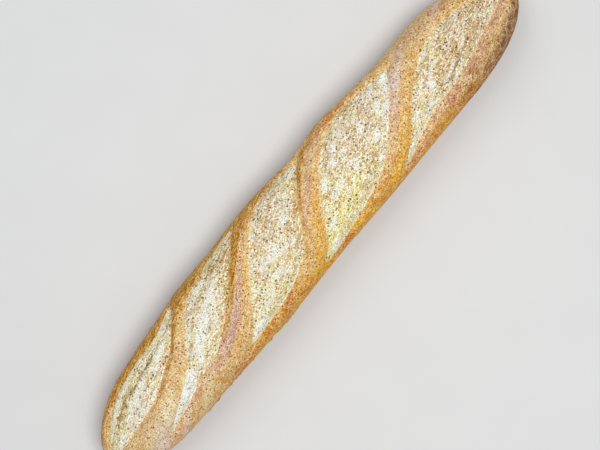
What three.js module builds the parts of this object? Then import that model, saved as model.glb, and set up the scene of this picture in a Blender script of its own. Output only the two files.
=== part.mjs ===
import * as THREE from "three";
import { mergeVertices } from "three/addons/utils/BufferGeometryUtils.js";

// A brown baguette, whole and uncut. It lies along X with its flat underside on Z = 0, and +Z is up.
// All sizes are in millimetres.

// Overall size. The tips are a little lower than the widest line, and off to one side of the axis.
const WAIST = 20.5; // height of the widest line above the table
const TOP_RISE = 34; // from the widest line up to the top of the crust
const SHOULDER = 2.2; // 2 gives a round top, more gives fuller shoulders
const TOP_SINK = 3; // the top sinks this much from the middle to where the ends begin
const LEFT_TIP = { x: -250, y: -8 };
const RIGHT_TIP = { x: 247, y: 2 };
const TIP_SINK = 1.5;
const END_SPAN = 87; // length of each rounded end
const END_BLUNTNESS = 0.4; // 0.5 gives an oval end, less gives a blunter one

// The two long sides as seen from above: distance from the axis at places along the loaf, before the ends
// are rounded. The bands between the cuts swell the back side, and the tips of the cuts pinch it.
const BACK_SIDE = [
  [-250, 29],
  [-225, 32.5],
  [-200, 34.7],
  [-180, 35.1],
  [-140, 39],
  [-108, 42.2],
  [-70, 42.3],
  [-20, 43.8],
  [25, 40.9],
  [62, 43.1],
  [100, 40.1],
  [128, 38],
  [160, 38.5],
  [190, 37.8],
  [210, 34],
  [247, 32],
];
const FRONT_SIDE = [
  [-250, -42],
  [-212, -41.3],
  [-170, -39.5],
  [-70, -40.6],
  [0, -38.9],
  [60, -39.4],
  [130, -38],
  [247, -37.5],
];

// Underside: flat where it rests, this many degrees round from the top on either side
const BASE_EDGE = (141 * Math.PI) / 180;

// Cuts: each is a leaf on the rolled-out crust, and runs from one tip to the other. Its edges stand off the line
// between the tips by "up" on one side and "down" on the other, at EDGE_PLACES, which are shares of the way
// along. Across the loaf, 38 mm of rolled-out crust is one radian.
const ROLL = 38;
const EDGE_STEPS = 16;
const EDGE_ENDS = 0.03; // one more place this close to each tip
const EDGE_PLACES = [0, EDGE_ENDS, 1 - EDGE_ENDS, 1];
for (let i = 1; i < EDGE_STEPS; i += 1) EDGE_PLACES.splice(i + 1, 0, i / EDGE_STEPS);
const edge = (offsets) => offsets.map((off, i) => [EDGE_PLACES[i], off]);
const CUTS = [
  {
    from: [-245, 2.5],
    to: [-124, 45],
    up: edge([
      0, 3.9, 7, 12.6, 15.9, 17.1, 17.2, 16.2, 15.1, 14.1, 11.9, 8.6, 4.8, 1.5, -0.2, -0.4, 0.3, 0.4, 0,
    ]),
    down: edge([
      0, 4.4, 6.7, 10.1, 12.7, 15.4, 17.2, 19.6, 20.8, 21.2, 20.8, 20.3, 19.7, 19, 16.4, 12, 8.2, 5.2, 0,
    ]),
  },
  {
    from: [-201, -29.5],
    to: [-46, 44],
    up: edge([
      0, 0.3, 0.5, 0.7, 1, 1.1, 0.8, 3.2, 6.6, 10.7, 14, 15.2, 14.2, 13, 13, 11.1, 6.6, 3.6, 0,
    ]),
    down: edge([
      0, 2.5, 3.5, 5.3, 8.2, 9.3, 11.1, 14.9, 18.2, 19, 18.5, 17.9, 16.3, 14.2, 11, 8.3, 4.6, 2.3, 0,
    ]),
  },
  {
    from: [-106, -34.5],
    to: [26.5, 38.5],
    up: edge([
      0, 0.5, 1.2, 3.4, 6.2, 9, 11.8, 14.4, 16, 17.4, 19.3, 20.4, 21.2, 21.2, 19.1, 15.1, 10, 6.6, 0,
    ]),
    down: edge([
      0, 3, 5.2, 8.9, 12.1, 15.9, 19.1, 21.3, 23.1, 24.1, 23.5, 21.2, 17.3, 13.4, 10.6, 7.3, 3.1, 1.2, 0,
    ]),
  },
  {
    from: [-25, -47.5],
    to: [130, 33],
    up: edge([
      0, 3.1, 4.4, 6.6, 11.3, 17.7, 22.3, 24.5, 28, 30.6, 31.5, 31.5, 30.1, 26.7, 19.8, 13.2, 6.7, 3.3, 0,
    ]),
    down: edge([
      0, 0, 1.2, 4.2, 6.9, 9.6, 11.7, 13.4, 15.9, 18.1, 18.2, 18.1, 16.7, 14.2, 11.6, 8.2, 3.2, 0.8, 0,
    ]),
  },
  {
    from: [77.5, -42],
    to: [243, 4.5],
    up: edge([
      0, 4.8, 7.5, 11.3, 16.7, 21.9, 26.5, 30.3, 33.6, 35.5, 35.9, 35, 32.4, 29, 24.8, 18.9, 10.8, 5.7, 0,
    ]),
    down: edge([
      0, -0.7, -2, -4.1, -5.5, -6.1, -5.8, -3.4, -0.3, 1.1, 2.1, 3.2, 3.2, 3.3, 3.9, 3.4, 2.1, 1.1, 0,
    ]),
  },
];

// Relief of the cuts and of the bands of crust between them
const UPPER_VALLEY = 0.6; // along the upper edge of a cut, where the crust stayed joined
const LOWER_VALLEY = 1.4; // along the lower edge, where it tore loose
const BELLY_RISE = 0.5; // the crumb in the middle of a cut
const BELLY_REACH = 11; // from the edge of a cut to its belly
const BAND_RISE = 1.6; // the crest of the crust beside a cut
const BAND_REACH = 7; // from the edge of a cut up to that crest
const LEVEL_REACH = 32; // from the edge of a cut to where the crust is level again
const SIDE_FADE = [0.95, 1.6]; // the relief dies out between these two angles round from the top
const TIP_FADE = [0.25, 0.7]; // and where the loaf narrows to these shares of its width

// Facets
const ROUND = 46;
const RINGS = 118;
const TOP_CROWDING = 0.36; // the facets are this much finer on top, and as much coarser underneath
const END_ARC = 105; // length of the curve of each end, over which its rings are spread

const clamp = THREE.MathUtils.clamp;
const lerp = THREE.MathUtils.lerp;

// A smooth step from 0 to 1 while x goes from a to b.
function ease(x, a, b) {
  return THREE.MathUtils.smoothstep(x, a, b);
}

// A round shoulder: it rises steeply from 0 and levels out at 1 where x reaches the given distance.
function shoulder(x, reach) {
  return Math.sin(clamp(x / reach, 0, 1) * (Math.PI / 2));
}

// A smooth curve through the places of one long side, or of one edge of a cut.
function sideAt(side, x) {
  const last = side.length - 1;
  const at = clamp(x, side[0][0], side[last][0]);
  let i = 0;
  while (i < last - 1 && at >= side[i + 1][0]) i += 1;
  const slope = (j) => {
    const a = side[Math.max(j - 1, 0)];
    const b = side[Math.min(j + 1, last)];
    return (b[1] - a[1]) / (b[0] - a[0]);
  };
  const width = side[i + 1][0] - side[i][0];
  const t = (at - side[i][0]) / width;
  const t2 = t * t;
  const t3 = t2 * t;
  return (
    (2 * t3 - 3 * t2 + 1) * side[i][1] +
    (t3 - 2 * t2 + t) * slope(i) * width +
    (3 * t2 - 2 * t3) * side[i + 1][1] +
    (t3 - t2) * slope(i + 1) * width
  );
}

// The nearer tip.
function tipBy(x) {
  return x < 0 ? LEFT_TIP : RIGHT_TIP;
}

// How far into the rounded end a place is: 0 on the body, 1 at the tip.
function endShare(x) {
  return clamp((Math.abs(x) - Math.abs(tipBy(x).x) + END_SPAN) / END_SPAN, 0, 1);
}

// 1 along the body, falling to 0 round each end.
function fullness(x) {
  return (1 - endShare(x) ** 2) ** END_BLUNTNESS;
}

// A point of the plain loaf: x along it, and the angle round it from the top.
function skinPoint(x, angle) {
  const full = fullness(x);
  const back = lerp(tipBy(x).y, sideAt(BACK_SIDE, x), full);
  const front = lerp(tipBy(x).y, sideAt(FRONT_SIDE, x), full);
  const across = Math.sin(angle);
  const y = (back + front) / 2 + ((back - front) / 2) * across;
  const waist = WAIST - TIP_SINK * ease(endShare(x), 0, 1);
  const rise = TOP_RISE - TOP_SINK * (x / (LEFT_TIP.x + END_SPAN)) ** 2;
  if (Math.cos(angle) >= 0) {
    const arch = (1 - Math.abs(across) ** SHOULDER) ** (1 / SHOULDER);
    return new THREE.Vector3(x, y, waist + rise * full * arch);
  }
  const drop = (Math.cos(angle) / Math.cos(BASE_EDGE)) * WAIST * full;
  return new THREE.Vector3(x, y, Math.max(0, waist - drop));
}

// Where a place on the rolled-out crust lies in a cut: how deep inside, negative outside, and whether it is by
// the upper edge (0) or by the lower one (1).
function inCut(cut, x, v) {
  const dx = cut.to[0] - cut.from[0];
  const dv = cut.to[1] - cut.from[1];
  const long = Math.hypot(dx, dv);
  const along = ((x - cut.from[0]) * dx + (v - cut.from[1]) * dv) / long;
  const off = ((v - cut.from[1]) * dx - (x - cut.from[0]) * dv) / long;
  const pastUp = off - sideAt(cut.up, along / long);
  const pastDown = -off - sideAt(cut.down, along / long);
  const depth = -Math.max(pastUp, pastDown, -along, along - long);
  return { depth, lower: ease(pastDown - pastUp, -3, 3) };
}

// Height of the relief over the plain loaf: a valley along the edge of each cut, the crumb swelling up on one
// side of it and the crust on the other.
function relief(x, angle) {
  const places = CUTS.map((cut) => inCut(cut, x, ROLL * angle));
  const { depth, lower } = places.reduce((a, b) => (b.depth > a.depth ? b : a));
  const valley = -lerp(UPPER_VALLEY, LOWER_VALLEY, lower);
  const crumb = lerp(valley, BELLY_RISE, shoulder(depth, BELLY_REACH));
  const crust = lerp(valley, BAND_RISE, shoulder(-depth, BAND_REACH));
  const height = depth > 0 ? crumb : crust * (1 - ease(-depth, BAND_REACH, LEVEL_REACH));
  return height * (1 - ease(Math.abs(angle), ...SIDE_FADE)) * ease(fullness(x), ...TIP_FADE);
}

// Place of a ring, t from 0 to 1 along the loaf: evenly spaced on the body, and along the curve of each end.
function ringPlace(t) {
  const body = RIGHT_TIP.x - LEFT_TIP.x - 2 * END_SPAN;
  const arc = t * (body + 2 * END_ARC);
  const fromTip = Math.min(arc, body + 2 * END_ARC - arc);
  const inEnd = END_SPAN * (1 - Math.cos((Math.min(fromTip / END_ARC, 1) * Math.PI) / 2));
  const inward = inEnd + Math.max(fromTip - END_ARC, 0);
  return t < 0.5 ? LEFT_TIP.x + inward : RIGHT_TIP.x - inward;
}

// A ball whose poles become the tips of the loaf: its latitude is the place along the loaf, and its
// longitude is the angle round it.
function plainLoaf() {
  const ball = new THREE.SphereGeometry(1, ROUND, RINGS);
  const places = ball.getAttribute("position");
  const turns = ball.getAttribute("uv");
  const heights = [];
  for (let i = 0; i < places.count; i += 1) {
    const x = ringPlace(turns.getY(i));
    const turn = 0.5 - (turns.getX(i) % 1);
    const angle = 2 * Math.PI * turn - TOP_CROWDING * Math.sin(2 * Math.PI * turn);
    const point = skinPoint(x, angle);
    places.setXYZ(i, point.x, point.y, point.z);
    heights.push(relief(x, angle));
  }
  ball.setAttribute("relief", new THREE.Float32BufferAttribute(heights, 1));
  ball.deleteAttribute("normal");
  ball.deleteAttribute("uv");
  return mergeVertices(ball, 1e-3);
}

// The plain loaf with the relief added square to its surface, its box centred over the origin.
function finishedLoaf() {
  const loaf = plainLoaf();
  loaf.computeVertexNormals();
  const places = loaf.getAttribute("position");
  const out = loaf.getAttribute("normal");
  const heights = loaf.getAttribute("relief");
  const point = new THREE.Vector3();
  const step = new THREE.Vector3();
  for (let i = 0; i < places.count; i += 1) {
    step.fromBufferAttribute(out, i);
    point.fromBufferAttribute(places, i).addScaledVector(step, heights.getX(i));
    places.setXYZ(i, point.x, point.y, point.z);
  }
  loaf.deleteAttribute("relief");
  loaf.computeBoundingBox();
  const middle = loaf.boundingBox.getCenter(new THREE.Vector3());
  return loaf.translate(-middle.x, -middle.y, -loaf.boundingBox.min.z);
}

const crust = new THREE.MeshStandardMaterial({ color: 0xc89558, roughness: 0.75, metalness: 0 });
const loaf = new THREE.Mesh(finishedLoaf(), crust);
loaf.name = "loaf";

const group = new THREE.Group();
group.add(loaf);

export default group;
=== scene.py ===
# %% [markdown]
# This lesson dresses a brown baguette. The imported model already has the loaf's size and plain form, so it
# is loaded first as a fixed frame. Everything made later is measured against its box.

import bmesh
import bpy
import numpy as np
from mathutils import Matrix, Vector, noise


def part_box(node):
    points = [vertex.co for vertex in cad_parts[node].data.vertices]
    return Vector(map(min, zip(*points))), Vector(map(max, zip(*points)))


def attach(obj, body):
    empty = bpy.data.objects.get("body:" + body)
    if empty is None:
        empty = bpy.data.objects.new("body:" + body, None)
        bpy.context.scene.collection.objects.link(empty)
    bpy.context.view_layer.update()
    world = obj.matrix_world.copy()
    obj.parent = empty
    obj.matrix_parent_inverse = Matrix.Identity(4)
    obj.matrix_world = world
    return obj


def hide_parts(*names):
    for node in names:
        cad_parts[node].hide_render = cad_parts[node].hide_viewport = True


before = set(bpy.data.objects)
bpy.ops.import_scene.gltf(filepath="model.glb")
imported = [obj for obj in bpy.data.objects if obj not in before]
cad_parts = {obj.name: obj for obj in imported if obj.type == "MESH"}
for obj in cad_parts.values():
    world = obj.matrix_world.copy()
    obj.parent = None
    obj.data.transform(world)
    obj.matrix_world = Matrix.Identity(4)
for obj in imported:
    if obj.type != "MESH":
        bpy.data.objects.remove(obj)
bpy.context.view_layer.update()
loaf_low, loaf_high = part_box("loaf")
print("packed loaf, mm:", [round(1000 * side) for side in loaf_high - loaf_low])

# %% [markdown]
# Sizes are easiest to read in millimetres, while Blender works in metres, so one factor turns one into the
# other. The loaf was measured from its own axis. Its box is not quite centred on that axis, so the packed
# box also says how far the finished skin has to shift.

# %% Units and small helpers
MM = 0.001


def ease(x, low, high):
    """A smooth step from 0 to 1 while x goes from low to high."""
    t = np.clip((np.asarray(x, float) - low) / (high - low), 0, 1)
    return t * t * (3 - 2 * t)


def shoulder(x, reach):
    """Rises steeply from 0 and levels out at 1 where x gets to reach."""
    return np.sin(np.clip(x / reach, 0, 1) * np.pi / 2)


def blend(a, b, share):
    return a + (b - a) * share


# %% [markdown]
# Seen from above, the real loaf has two uneven long sides. The bands of crust between the cuts swell the
# back side, and the tips of the cuts pinch it. A few widths along the loaf and a smooth curve through them
# give that outline. A curve object would do it too, but a function also answers at every vertex of a mesh.

# %% The outline from above
BACK_SIDE = [
    (-250, 29), (-225, 32.5), (-200, 34.7), (-180, 35.1), (-140, 39), (-108, 42.2), (-70, 42.3), (-20, 43.8),
    (25, 40.9), (62, 43.1), (100, 40.1), (128, 38), (160, 38.5), (190, 37.8), (210, 34), (247, 32),
]
FRONT_SIDE = [
    (-250, -42), (-212, -41.3), (-170, -39.5), (-70, -40.6), (0, -38.9), (60, -39.4), (130, -38),
    (247, -37.5),
]
LEFT_TIP = (-250, -8)
RIGHT_TIP = (247, 2)
END_SPAN = 87
END_BLUNTNESS = 0.4


def side_at(side, x):
    """A smooth curve through the places of one long side."""
    along = np.array([place[0] for place in side], float)
    out = np.array([place[1] for place in side], float)
    last = len(side) - 1
    at = np.clip(x, along[0], along[-1])
    i = np.clip(np.searchsorted(along, at, side="right") - 1, 0, last - 1)
    before, after = np.maximum(np.arange(last + 1) - 1, 0), np.minimum(np.arange(last + 1) + 1, last)
    slope = (out[after] - out[before]) / (along[after] - along[before])
    width = along[i + 1] - along[i]
    t = (at - along[i]) / width
    start = (2 * t**3 - 3 * t**2 + 1) * out[i] + (t**3 - 2 * t**2 + t) * slope[i] * width
    return start + (3 * t**2 - 2 * t**3) * out[i + 1] + (t**3 - t**2) * slope[i + 1] * width


def end_share(x):
    """How far into a rounded end a place is: 0 on the body, 1 at the tip."""
    tip = np.where(x < 0, -LEFT_TIP[0], RIGHT_TIP[0])
    return np.clip((np.abs(x) - tip + END_SPAN) / END_SPAN, 0, 1)


def fullness(x):
    """1 along the body, falling to 0 round each end."""
    return (1 - end_share(x) ** 2) ** END_BLUNTNESS


def sides_at(x):
    tip = np.where(x < 0, LEFT_TIP[1], RIGHT_TIP[1])
    full = fullness(x)
    return blend(tip, side_at(BACK_SIDE, x), full), blend(tip, side_at(FRONT_SIDE, x), full)


print("width in the middle, mm:", round(float(np.subtract(*sides_at(np.array(0.0)))), 1))

# %% [markdown]
# Across, the loaf is a round arch that stands on a flat base and bulges out to its widest line in between.
# One angle, counted round from the top, gives any point of that section. With the place along the loaf it
# makes a net of two numbers that covers the whole skin, the way latitude and longitude cover a globe.

# %% The section and the plain skin
WAIST = 20.5
TOP_RISE = 34
SHOULDER = 2.2
TOP_SINK = 3
TIP_SINK = 1.5
BASE_EDGE = np.radians(141)


def plain_skin(x, angle):
    """Points of the loaf before any relief, in millimetres."""
    full = fullness(x)
    back, front = sides_at(x)
    across, up = np.sin(angle), np.cos(angle)
    y = (back + front) / 2 + (back - front) / 2 * across
    waist = WAIST - TIP_SINK * ease(end_share(x), 0, 1)
    rise = TOP_RISE - TOP_SINK * (x / (LEFT_TIP[0] + END_SPAN)) ** 2
    arch = (1 - np.abs(across) ** SHOULDER) ** (1 / SHOULDER)
    above = waist + rise * full * arch
    below = np.maximum(0, waist - up / np.cos(BASE_EDGE) * WAIST * full)
    return np.stack([x, y, np.where(up >= 0, above, below)], axis=-1)


# %% [markdown]
# The baker's five cuts open in the oven into long leaves. On the crust rolled out flat, each leaf runs from
# one tip to the other. Its edges leave the line between the tips by some mm up and some mm down, which a
# short table gives at even places along it and close to both tips, where they meet it again. A signed
# distance to the edge, positive inside a cut, is worth keeping: the relief, the crust's colour and the
# crumb's texture all follow from it.

# %% The five cuts
ROLL = 38
EDGE_STEPS = 16
EDGE_ENDS = 0.03
EDGE_PLACES = [0, EDGE_ENDS] + [i / EDGE_STEPS for i in range(1, EDGE_STEPS)] + [1 - EDGE_ENDS, 1]
# Each cut: its two tips, then how far its upper edge and its lower edge stand off the line between them
CUTS = [
    (
        (-245, 2.5), (-124, 45),
        [3.9, 7, 12.6, 15.9, 17.1, 17.2, 16.2, 15.1, 14.1, 11.9, 8.6, 4.8, 1.5, -0.2, -0.4, 0.3, 0.4],
        [4.4, 6.7, 10.1, 12.7, 15.4, 17.2, 19.6, 20.8, 21.2, 20.8, 20.3, 19.7, 19, 16.4, 12, 8.2, 5.2],
    ),
    (
        (-201, -29.5), (-46, 44),
        [0.3, 0.5, 0.7, 1, 1.1, 0.8, 3.2, 6.6, 10.7, 14, 15.2, 14.2, 13, 13, 11.1, 6.6, 3.6],
        [2.5, 3.5, 5.3, 8.2, 9.3, 11.1, 14.9, 18.2, 19, 18.5, 17.9, 16.3, 14.2, 11, 8.3, 4.6, 2.3],
    ),
    (
        (-106, -34.5), (26.5, 38.5),
        [0.5, 1.2, 3.4, 6.2, 9, 11.8, 14.4, 16, 17.4, 19.3, 20.4, 21.2, 21.2, 19.1, 15.1, 10, 6.6],
        [3, 5.2, 8.9, 12.1, 15.9, 19.1, 21.3, 23.1, 24.1, 23.5, 21.2, 17.3, 13.4, 10.6, 7.3, 3.1, 1.2],
    ),
    (
        (-25, -47.5), (130, 33),
        [3.1, 4.4, 6.6, 11.3, 17.7, 22.3, 24.5, 28, 30.6, 31.5, 31.5, 30.1, 26.7, 19.8, 13.2, 6.7, 3.3],
        [0, 1.2, 4.2, 6.9, 9.6, 11.7, 13.4, 15.9, 18.1, 18.2, 18.1, 16.7, 14.2, 11.6, 8.2, 3.2, 0.8],
    ),
    (
        (77.5, -42), (243, 4.5),
        [4.8, 7.5, 11.3, 16.7, 21.9, 26.5, 30.3, 33.6, 35.5, 35.9, 35, 32.4, 29, 24.8, 18.9, 10.8, 5.7],
        [-0.7, -2, -4.1, -5.5, -6.1, -5.8, -3.4, -0.3, 1.1, 2.1, 3.2, 3.2, 3.3, 3.9, 3.4, 2.1, 1.1],
    ),
]


def edge_at(share, offsets):
    """How far an edge stands off the line between the tips of its cut, at a share of the way along."""
    return side_at(list(zip(EDGE_PLACES, [0, *offsets, 0])), share)


def in_cut(cut, x, v):
    """Where a place of the rolled-out crust lies in a cut: its depth inside, and its places along and across.
    Also how far it lies past the upper and the lower edge."""
    first_tip, last_tip, upper, lower = cut
    start, run = np.array(first_tip, float), np.subtract(last_tip, first_tip)
    length = np.hypot(*run)
    along = ((x - start[0]) * run[0] + (v - start[1]) * run[1]) / length
    across = ((v - start[1]) * run[0] - (x - start[0]) * run[1]) / length
    past_up = across - edge_at(along / length, upper)
    past_down = -across - edge_at(along / length, lower)
    depth = -np.maximum.reduce([past_up, past_down, -along, along - length])
    return depth, along, across, past_up, past_down


print("cuts:", len(CUTS))

# %% [markdown]
# A valley runs along each edge of a cut. On one side of it the crumb swells up to its belly, and on the
# other the crust rolls up into a rope-like band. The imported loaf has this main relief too, in plain form.
# On the real one the crust tore loose at the lower edge of each cut and stayed joined at the upper one, so
# the lower valley is deeper.

# %% The relief of cuts and bands
UPPER_VALLEY = 0.6
LOWER_VALLEY = 1.4
BELLY_RISE = 0.5
BELLY_REACH = 11
BAND_RISE = 1.6
BAND_REACH = 7
LEVEL_REACH = 32
SIDE_FADE = (0.95, 1.6)
TIP_FADE = (0.25, 0.7)


def main_relief(x, angle, depth, lower):
    """Height over the plain loaf, where lower is 1 by the lower edge of a cut and 0 by the upper one."""
    valley = -blend(UPPER_VALLEY, LOWER_VALLEY, lower)
    crumb = blend(valley, BELLY_RISE, shoulder(depth, BELLY_REACH))
    crust = blend(valley, BAND_RISE, shoulder(-depth, BAND_REACH))
    crust = crust * (1 - ease(-depth, BAND_REACH, LEVEL_REACH))
    height = np.where(depth > 0, crumb, crust)
    return height * (1 - ease(np.abs(angle), *SIDE_FADE)) * ease(fullness(x), *TIP_FADE)


# %% [markdown]
# The skin starts as a plain ball of Blender's own. Its poles become the tips of the loaf, its rings the
# places along it, and its meridians the angles round it. That is quicker than extruding rings one by one,
# and the faces are closed and point outwards from the start. More of them are crowded on top, where the
# detail is.

# %% A ball becomes the loaf
AROUND = 200
ALONG = 490
TOP_CROWDING = 0.4
END_ARC = 105


def ring_place(t):
    """Place along the loaf of each ring: even on the body, and following the curve of each end."""
    body = RIGHT_TIP[0] - LEFT_TIP[0] - 2 * END_SPAN
    arc = t * (body + 2 * END_ARC)
    from_tip = np.minimum(arc, body + 2 * END_ARC - arc)
    in_end = END_SPAN * (1 - np.cos(np.minimum(from_tip / END_ARC, 1) * np.pi / 2))
    inward = in_end + np.maximum(from_tip - END_ARC, 0)
    return np.where(t < 0.5, LEFT_TIP[0] + inward, RIGHT_TIP[0] - inward)


skin = bmesh.new()
bmesh.ops.create_uvsphere(skin, u_segments=AROUND, v_segments=ALONG, radius=1)
skin_mesh = bpy.data.meshes.new("loaf_skin")
skin.to_mesh(skin_mesh)
skin.free()
ball = np.zeros(len(skin_mesh.vertices) * 3, np.float32)
skin_mesh.vertices.foreach_get("co", ball)
ball = ball.reshape(-1, 3).astype(float)
x_place = ring_place(1 - np.arccos(np.clip(ball[:, 2], -1, 1)) / np.pi)
turn = -np.arctan2(ball[:, 1], ball[:, 0])
angle = turn - TOP_CROWDING * np.sin(turn)
plain = plain_skin(x_place, angle)
print("skin points:", len(plain))


def put_points(mesh, points):
    mesh.vertices.foreach_set("co", points.astype(np.float32).ravel())
    mesh.update()


def normals_of(mesh):
    out = np.zeros(len(mesh.vertices) * 3, np.float32)
    mesh.vertices.foreach_get("normal", out)
    return out.reshape(-1, 3).astype(float)


put_points(skin_mesh, plain)
plain_normals = normals_of(skin_mesh)

# %% [markdown]
# Every place of the skin now asks which cut it lies in, or lies nearest to. The answers are kept as plain
# arrays, one number for each vertex. Later they go onto the mesh as attributes, where the material can read
# them.

# %% Where each vertex lies
FAR = 99
rolled = ROLL * angle
vertex = np.arange(len(plain))
places = np.array([in_cut(cut, x_place, rolled) for cut in CUTS])
nearest = places[:, 0].argmax(axis=0)
cut_depth, cut_along, cut_across, nearest_past_up, nearest_past_down = places[nearest, :, vertex].T
by_lower_edge = ease(nearest_past_down - nearest_past_up, -3, 3)
# The two flanks of a band: mm past the upper edge of the cut below, and past the lower edge of the cut above
outside = places[:, 0] < 0
past_up_of = np.where(outside & (places[:, 3] > 0), places[:, 3], FAR)
past_down_of = np.where(outside & (places[:, 4] > 0), places[:, 4], FAR)
past_up, past_down = past_up_of.min(axis=0), past_down_of.min(axis=0)
cut_above = past_down_of.argmin(axis=0)


def by_cut(one_for_each):
    """A value for each cut, given to every vertex in it or nearest to it."""
    return np.array(one_for_each)[nearest]


print("vertices inside cuts:", int((cut_depth > 0).sum()))

# %% [markdown]
# Flour, folds and spots of colour are easiest to place where the photo shows them. The photo looks straight
# down through a lens, so the top of the loaf, nearer to it, looks a little larger than the floor. The same
# lens is used at the end for the camera, and here it tells where each vertex would be seen.

# %% Where the camera sees each vertex
VIEW_PLANE = 22
VIEW_DISTANCE = 950
VIEW_CENTRE = np.array([-8.8, 0.9])
closeness = VIEW_DISTANCE / (VIEW_PLANE + VIEW_DISTANCE - plain[:, 2])
seen = VIEW_CENTRE + (plain[:, :2] - VIEW_CENTRE) * closeness[:, None]
print("the top looks larger by", round(100 * float(closeness.max()) - 100, 1), "percent")

# %% [markdown]
# Bread is never smooth. Soft noise of several sizes is laid over the main relief: slow swells and small
# blisters on the crust, and lumps, torn strands and pits on the crumb, drawn out along each cut as the
# dough tore. Noise from mathutils is used because it gives the same values on each run.

# %% Noise for dough
def wobble(points, size, seed, octaves=1):
    """Soft noise from about -1 to 1, with swells about size across."""
    shift = Vector((17.3 * seed, -9.1 * seed, 5.7 * seed))
    if octaves == 1:
        return np.array([noise.noise(Vector(p) / size + shift) for p in points])
    return np.array([noise.fractal(Vector(p) / size + shift, 0.9, 2.0, octaves) for p in points])


def distance_to(points, route):
    """Distance in plan from each point to a line through a few places, and how far along the line it lies."""
    best, best_share = np.full(len(points), 1e9), np.zeros(len(points))
    for i, (start, end) in enumerate(zip(route[:-1], route[1:])):
        start, run = np.array(start, float), np.subtract(end, start)
        t = np.clip(((points - start) @ run) / (run @ run), 0, 1)
        away = np.linalg.norm(points - start - t[:, None] * run, axis=1)
        closer = away < best
        best = np.where(closer, away, best)
        best_share = np.where(closer, (i + t) / (len(route) - 1), best_share)
    return best, best_share


swell = wobble(plain, 34, 1)
blister = wobble(plain, 5.5, 2, octaves=3)
grain_points = np.stack([cut_along / 3.2, cut_across, 31.0 * nearest], axis=-1)
strand = wobble(grain_points, 2.1, 3, octaves=3)
lump = wobble(plain, 8.5, 4, octaves=2)
pit = wobble(plain, 2.9, 5, octaves=2)

# %% [markdown]
# Three of the cuts have folds, where the dough tore twice and a second lip came up. They show as soft
# grooves with paler ridges beside them. Each is a short line of places, pressed in or raised with a round
# section that dies out at both ends. The lumps of the crumb make the lines waver a little.

# %% Folds and ridges in the cuts
LINE_WAVER = 0.35
LINE_FADE = 0.4
# Each fold or ridge: its route, how deep or high it is in mm, and how wide it is
FOLDS = [
    ([(-234, 0), (-224, 8), (-214, 13), (-204, 16), (-194, 18.5)], 0.5, 1.8),
    ([(-214, 11.5), (-198, 16.5), (-182, 20), (-166, 22.6), (-150, 25.8), (-131, 33)], 0.9, 1.2),
    ([(-58, 36), (-88, 30.5), (-116, 21.5)], 0.6, 1.8),
    ([(-151, -4), (-145, 1), (-138, 6)], 0.4, 1.2),
    ([(162, -14.2), (167, -12), (173, -10.2), (178, -7.9), (186, -7.2)], 1.0, 1.1),
    ([(148, -8), (149.5, -13), (154, -15.3), (162, -14)], 0.6, 1.1),
]
RIDGES = [
    ([(-234, 5), (-225, 12), (-215, 18), (-205, 22), (-195, 25), (-185, 27)], 0.6, 1.9),
    ([(-190, 26), (-170, 27.8), (-155, 29.6), (-143, 32.8), (-130, 38)], 0.6, 1.5),
    ([(-216, -4), (-200, -1.5), (-188, 1.5), (-178, 5.5)], 0.4, 1.5),
    ([(145, -5), (147, -2.8), (151, 0), (156, 3), (162, 3.2), (165, 0.5)], 0.6, 1.5),
    ([(152, -9), (153.5, -12.6), (159, -12.6), (164, -10.8), (172, -6.8)], 0.7, 1.4),
    ([(175, -6), (180, -4.2), (186, -3.4), (190, -1), (193, 1.8), (198, -0.5)], 0.4, 1.2),
    ([(125, -16.3), (133, -17.3), (138, -18.3), (143, -17)], 0.5, 1.5),
    ([(148, -18.3), (154, -17.3), (160, -18.5), (169, -16.5), (176, -15.4)], 0.4, 1.3),
    ([(212, -7.4), (217, -6.3), (225, -4.6)], 0.4, 1.2),
    ([(-147, -9), (-130, 3), (-115, 10), (-98, 16)], 0.4, 3.0),
    ([(62, -20.5), (78, -13), (96, -4), (116, 12)], 0.3, 1.0),
]
top_side = ease(np.cos(angle), -0.2, 0.2)


def along_lines(lines):
    """Height of the nearest line at each place of the skin, and its share of the highest line's height."""
    total, share_of_highest = np.zeros(len(plain)), np.zeros(len(plain))
    highest = max(high for route, high, wide in lines)
    for route, high, wide in lines:
        away, share = distance_to(seen, route)
        fade = np.sin(np.pi * np.clip(share, 0.01, 0.99)) ** LINE_FADE
        here = np.exp(-(((away + LINE_WAVER * lump) / wide) ** 2)) * fade * top_side
        total = np.maximum(total, high * here)
        share_of_highest = np.maximum(share_of_highest, here * (high / highest) ** 0.5)
    return total, share_of_highest


# The second value says how strongly each fold's groove is darkened with painted shade.
fold, fold_painted_shade = along_lines(FOLDS)
ridge, ridge_shade = along_lines(RIDGES)
print("deepest fold and highest ridge, mm:", round(float(fold.max()), 2), round(float(ridge.max()), 2))

# %% [markdown]
# The underside lay on a perforated baking tray, which leaves rows of small round marks. They are pressed
# inwards, so that the loaf still rests on its flat base. The front side also has a thin, slightly torn seam
# low down, where the dough touched the edge of the tray. Small burrs of crust stand out at the widest line
# of both sides, and roughen the outline from above.

# %% Tray marks, seam and burrs
TRAY_PITCH = 6.0
TRAY_ROWS = 0.866
TRAY_MARK = 0.45
TRAY_MARK_EDGE = (0.16, 0.34)
on_base = ease(-np.cos(angle), 0.5, 0.8) * (plain[:, 2] < 4)
tray_u = plain[:, 0] / TRAY_PITCH
tray_v = plain[:, 1] / (TRAY_PITCH * TRAY_ROWS)
tray_row = np.round(tray_v)
tray_du = tray_u - 0.5 * (tray_row % 2) - np.round(tray_u - 0.5 * (tray_row % 2))
tray_dv = (tray_v - tray_row) * TRAY_ROWS
tray_dot = 1 - ease(np.hypot(tray_du, tray_dv), *TRAY_MARK_EDGE)

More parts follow.
